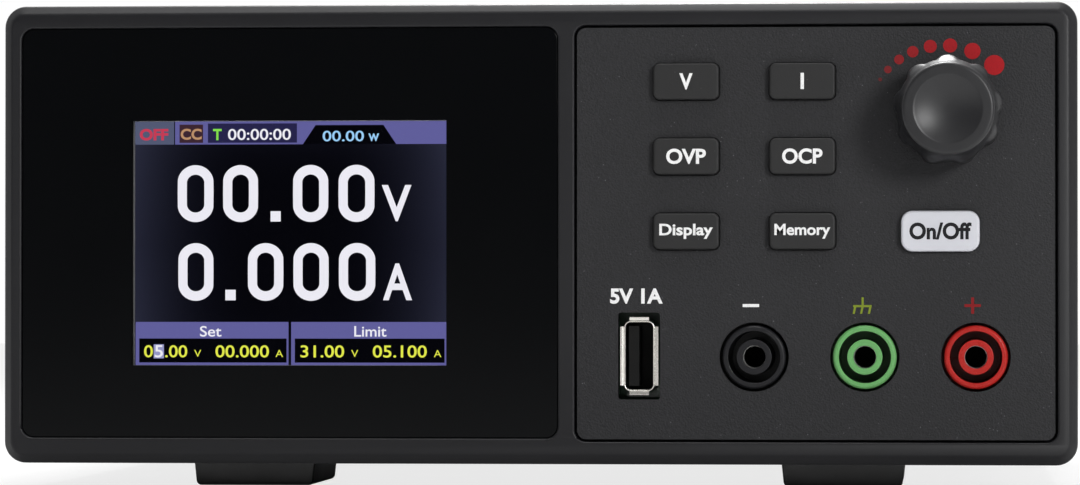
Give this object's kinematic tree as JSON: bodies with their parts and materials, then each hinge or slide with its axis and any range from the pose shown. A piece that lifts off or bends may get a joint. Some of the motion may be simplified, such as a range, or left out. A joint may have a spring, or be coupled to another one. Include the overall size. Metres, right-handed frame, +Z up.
{
  "type": "bench power supply",
  "caption": "Bench DC power supply with colour display window, keys, rotary dial, USB outlet, shrouded output sockets, fan and tilt feet.",
  "frame": {"origin": "centre of the footprint, on the surface that the feet stand on", "axes": "+X to the right seen from the front, +Y from the front panel to the rear, +Z up"},
  "size_m": [0.2, 0.215, 0.0905],
  "materials": {
    "bezel_plastic": "fine texture, slight sheen on the sloped edge",
    "window_gloss": "polished black, clear over the screen",
    "screen_frame": "lit colour screen in a dark frame",
    "board_green": "solder mask",
    "panel_plastic": "sand texture",
    "key_pale": "smooth matt",
    "switch_black": "moulded",
    "screw_steel": "zinc plated",
    "zinc_metal": "plated",
    "white_plastic": "moulded",
    "knob_plastic": "soft touch",
    "usb_metal": "nickel plated",
    "usb_plastic": "moulded",
    "socket_black": "moulded",
    "socket_green": "moulded",
    "socket_red": "moulded",
    "contact_metal": "nickel plated",
    "brass_metal": "plain",
    "plated_steel": "zinc plated sheet",
    "cover_paint": "fine textured powder coat",
    "rear_paint": "fine textured powder coat",
    "black_screw": "black oxide",
    "foot_plastic": "gloss",
    "foot_rubber": "matt",
    "fan_plastic": "moulded",
    "inlet_plastic": "moulded",
    "fuse_glass": "clear tube with metal caps",
    "rocker_plastic": "moulded",
    "sink_aluminium": "extruded",
    "package_plastic": "moulded package",
    "ferrite": "sintered",
    "winding_tape": "polyester tape",
    "can_sleeve": "shrink sleeve",
    "can_sleeve_small": "shrink sleeve",
    "choke_winding": "enamelled copper wire",
    "key_dark": "smooth matt"
  },
  "bodies": {
    "case": {"front_bezel": "bezel_plastic", "display_window": "window_gloss", "lcd_module": "screen_frame", "lcd_board": "board_green", "control_panel": "panel_plastic", "key_switches": "switch_black", "control_board": "board_green", "board_screws": "screw_steel", "encoder_body": "zinc_metal", "encoder_nut": "zinc_metal", "usb_shell": "usb_metal", "usb_tongue": "usb_plastic", "terminal_negative": "socket_black", "terminal_ground": "socket_green", "terminal_positive": "socket_red", "terminal_contacts": "contact_metal", "terminal_nuts": "brass_metal", "chassis": "plated_steel", "top_cover": "cover_paint", "rear_panel": "rear_paint", "cover_screws": "black_screw", "rear_screws": "screw_steel", "bezel_screws": "screw_steel", "front_foot_bases": "foot_plastic", "rear_feet": "foot_rubber", "foot_screws": "screw_steel", "fan_frame": "fan_plastic", "fan_screws": "black_screw", "inlet_body": "inlet_plastic", "inlet_pins": "contact_metal", "rocker_housing": "inlet_plastic", "main_board": "board_green", "board_standoffs": "brass_metal", "heatsinks": "sink_aluminium", "power_transistors": "package_plastic", "transformer_core": "ferrite", "transformer_winding": "winding_tape", "bulk_capacitors": "can_sleeve", "output_capacitors": "can_sleeve_small", "chokes": "choke_winding"},
    "voltage_key_body": {"voltage_key": "key_dark"},
    "current_key_body": {"current_key": "key_dark"},
    "over_voltage_key_body": {"over_voltage_key": "key_dark"},
    "over_current_key_body": {"over_current_key": "key_dark"},
    "display_key_body": {"display_key": "key_dark"},
    "memory_key_body": {"memory_key": "key_dark"},
    "output_key_body": {"output_key": "key_pale"},
    "dial_rotor": {"encoder_rotor": "white_plastic"},
    "dial": {"encoder_shaft": "zinc_metal", "encoder_knob": "knob_plastic"},
    "fan": {"fan_rotor": "fan_plastic"},
    "drawer": {"fuse_drawer": "inlet_plastic", "fuse": "fuse_glass"},
    "rocker": {"mains_rocker": "rocker_plastic"},
    "left_leg": {"left_tilt_leg": "foot_plastic"},
    "right_leg": {"right_tilt_leg": "foot_plastic"}
  },
  "joints": [
    {"name": "voltage_key_press", "type": "slide", "parent": "case", "child": "voltage_key_body", "axis": [0, 1, 0], "range_m": [0, 0.0005], "stiffness_N_per_m": 1600},
    {"name": "current_key_press", "type": "slide", "parent": "case", "child": "current_key_body", "axis": [0, 1, 0], "range_m": [0, 0.0005], "stiffness_N_per_m": 1600},
    {"name": "over_voltage_key_press", "type": "slide", "parent": "case", "child": "over_voltage_key_body", "axis": [0, 1, 0], "range_m": [0, 0.0005], "stiffness_N_per_m": 1600},
    {"name": "over_current_key_press", "type": "slide", "parent": "case", "child": "over_current_key_body", "axis": [0, 1, 0], "range_m": [0, 0.0005], "stiffness_N_per_m": 1600},
    {"name": "display_key_press", "type": "slide", "parent": "case", "child": "display_key_body", "axis": [0, 1, 0], "range_m": [0, 0.0005], "stiffness_N_per_m": 1600},
    {"name": "memory_key_press", "type": "slide", "parent": "case", "child": "memory_key_body", "axis": [0, 1, 0], "range_m": [0, 0.0005], "stiffness_N_per_m": 1600},
    {"name": "output_key_press", "type": "slide", "parent": "case", "child": "output_key_body", "axis": [0, 1, 0], "range_m": [0, 0.0005], "stiffness_N_per_m": 1600},
    {"name": "dial_turn", "type": "hinge", "parent": "case", "child": "dial_rotor", "pos_m": [0.0762, -0.0837, 0.0701], "axis": [0, -1, 0], "continuous": true},
    {"name": "dial_press", "type": "slide", "parent": "dial_rotor", "child": "dial", "axis": [0, 1, 0], "range_m": [0, 0.0005], "stiffness_N_per_m": 6000},
    {"name": "fan_spin", "type": "hinge", "parent": "case", "child": "fan", "pos_m": [-0.052, 0.1026, 0.04775], "axis": [0, 1, 0], "continuous": true},
    {"name": "drawer_slide", "type": "slide", "parent": "case", "child": "drawer", "axis": [0, 1, 0], "range_m": [0, 0.014]},
    {"name": "rocker_tip", "type": "hinge", "parent": "case", "child": "rocker", "pos_m": [0.026, 0.1018, 0.04775], "axis": [1, 0, 0], "range_deg": [0, 20]},
    {"name": "left_leg_fold", "type": "hinge", "parent": "case", "child": "left_leg", "pos_m": [-0.0563, -0.0614, 0.0019], "axis": [-1, 0, 0], "range_deg": [0, 95]},
    {"name": "right_leg_fold", "type": "hinge", "parent": "case", "child": "right_leg", "pos_m": [0.0563, -0.0614, 0.0019], "axis": [-1, 0, 0], "range_deg": [0, 95]}
  ]
}
